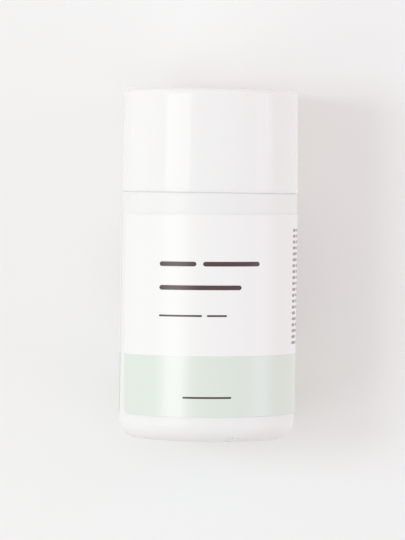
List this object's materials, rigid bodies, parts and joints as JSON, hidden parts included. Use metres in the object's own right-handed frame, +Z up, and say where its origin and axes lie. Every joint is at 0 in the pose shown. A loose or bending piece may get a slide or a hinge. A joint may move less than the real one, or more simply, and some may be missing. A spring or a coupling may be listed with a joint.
{
  "type": "nail polish remover sponge jar",
  "caption": "Round white dip-in sponge jar with a foam plug that has a finger hole, a wrap-round label and a tall double-walled screw lid.",
  "frame": {"origin": "middle of the flat face that the bottle stands on, at table height", "axes": "+Z up along the axis of the bottle and the lid; -Y is the front of the label, +X its right"},
  "size_m": [0.048, 0.048, 0.0944],
  "materials": {
    "bottle_plastic": "satin white blow-moulded polyethylene",
    "label_film": "semi-gloss white film with a pale green printed band",
    "foam": "open-cell foam",
    "retainer_plastic": "satin natural white plastic",
    "lid_plastic": "glossy white injection-moulded polypropylene",
    "insert_plastic": "satin white injection-moulded polypropylene",
    "liner_foam": "soft foamed polyethylene sheet"
  },
  "bodies": {
    "jar": {"bottle": "bottle_plastic", "label": "label_film", "sponge_base_pad": "foam", "sponge_sleeve": "foam", "sponge_retainer": "retainer_plastic"},
    "seal": {"lid_liner": "liner_foam"},
    "lid": {"lid_shell": "lid_plastic", "lid_insert": "insert_plastic"}
  },
  "joints": [
    {"name": "lid_lift", "type": "slide", "parent": "jar", "child": "seal", "axis": [0, 0, 1], "range_m": [0, 0.032]},
    {"name": "lid_turn", "type": "hinge", "parent": "seal", "child": "lid", "pos_m": [0, 0, 0.067], "axis": [0, 0, 1], "range_deg": [0, 2880]}
  ],
  "couplings": [
    {"joint": "lid_lift", "follows": "lid_turn", "m_per_rad": 0.00063662}
  ]
}
